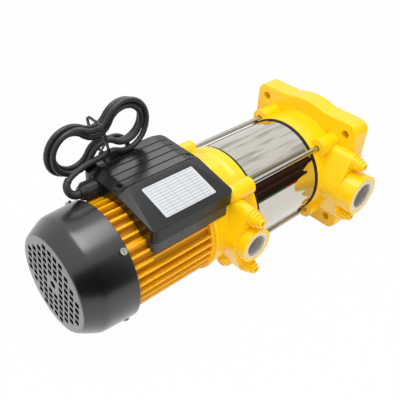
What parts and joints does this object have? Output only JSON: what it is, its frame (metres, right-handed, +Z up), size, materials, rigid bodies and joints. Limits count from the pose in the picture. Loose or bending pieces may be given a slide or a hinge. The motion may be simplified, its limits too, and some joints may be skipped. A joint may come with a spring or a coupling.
{
  "type": "horizontal multistage pump",
  "caption": "Close-coupled horizontal multistage pump: flanged yellow casings, polished steel sleeve with tie rods, finned motor, black fan cover, terminal box and coiled lead.",
  "frame": {"origin": "centre of the foot flange at its flat mounting face, on the shaft axis", "axes": "+X out of the mounting face along the shaft axis, +Z up to the terminal box, ports face -Y"},
  "size_m": [0.468, 0.2505, 0.2614],
  "materials": {
    "yellow_paint": "gloss",
    "polished_steel": "polished",
    "black_rubber": "matte",
    "bright_steel": "satin",
    "pressed_steel": "satin",
    "stage_plastic": "matte",
    "brass": "satin",
    "seal_ceramic": "gloss",
    "bearing_steel": "polished",
    "core_iron": "matte",
    "copper": "gloss",
    "fan_plastic": "matte",
    "cover_paint": "satin",
    "box_plastic": "satin",
    "plate_white": "satin",
    "capacitor_case": "satin",
    "block_plastic": "satin",
    "gland_plastic": "satin",
    "cord_rubber": "satin",
    "pin_brass": "polished"
  },
  "bodies": {
    "housing": {"suction_casing": "yellow_paint", "discharge_casing": "yellow_paint", "pump_sleeve": "polished_steel", "sleeve_gaskets": "black_rubber", "tie_rods": "bright_steel", "tie_rod_nuts": "bright_steel", "tie_rod_washers": "bright_steel", "filling_plugs": "yellow_paint", "drain_plugs": "yellow_paint", "inlet_plate": "pressed_steel", "stage_casings": "pressed_steel", "diffusers": "stage_plastic", "seal_seat": "seal_ceramic", "front_bearing": "bearing_steel", "rear_bearing": "bearing_steel", "motor_frame": "yellow_paint", "stator_core": "core_iron", "stator_windings": "copper", "rear_end_shield": "yellow_paint", "motor_tie_bolts": "bright_steel", "fan_cover": "cover_paint", "fan_cover_screws": "bright_steel", "terminal_box_base": "box_plastic", "terminal_box_lid": "box_plastic", "lid_screws": "bright_steel", "rating_plate": "plate_white", "capacitor": "capacitor_case", "terminal_block": "block_plastic", "gland_body": "gland_plastic", "gland_nut": "gland_plastic", "gland_seal": "black_rubber", "cord_boot": "cord_rubber", "power_cord": "cord_rubber", "cord_hank": "cord_rubber", "cord_tie": "cord_rubber", "plug": "cord_rubber", "plug_pins": "pin_brass"},
    "rotor": {"shaft": "bright_steel", "impellers": "brass", "impeller_spacers": "pressed_steel", "impeller_nut": "brass", "seal_head": "bright_steel", "water_slinger": "black_rubber", "bearing_inner_rings": "bearing_steel", "rotor_core": "core_iron", "cooling_fan": "fan_plastic", "fan_clip": "bearing_steel"}
  },
  "joints": [
    {"name": "shaft_spin", "type": "hinge", "parent": "housing", "child": "rotor", "pos_m": [-0.2, 0, 0], "axis": [1, 0, 0], "continuous": true}
  ]
}
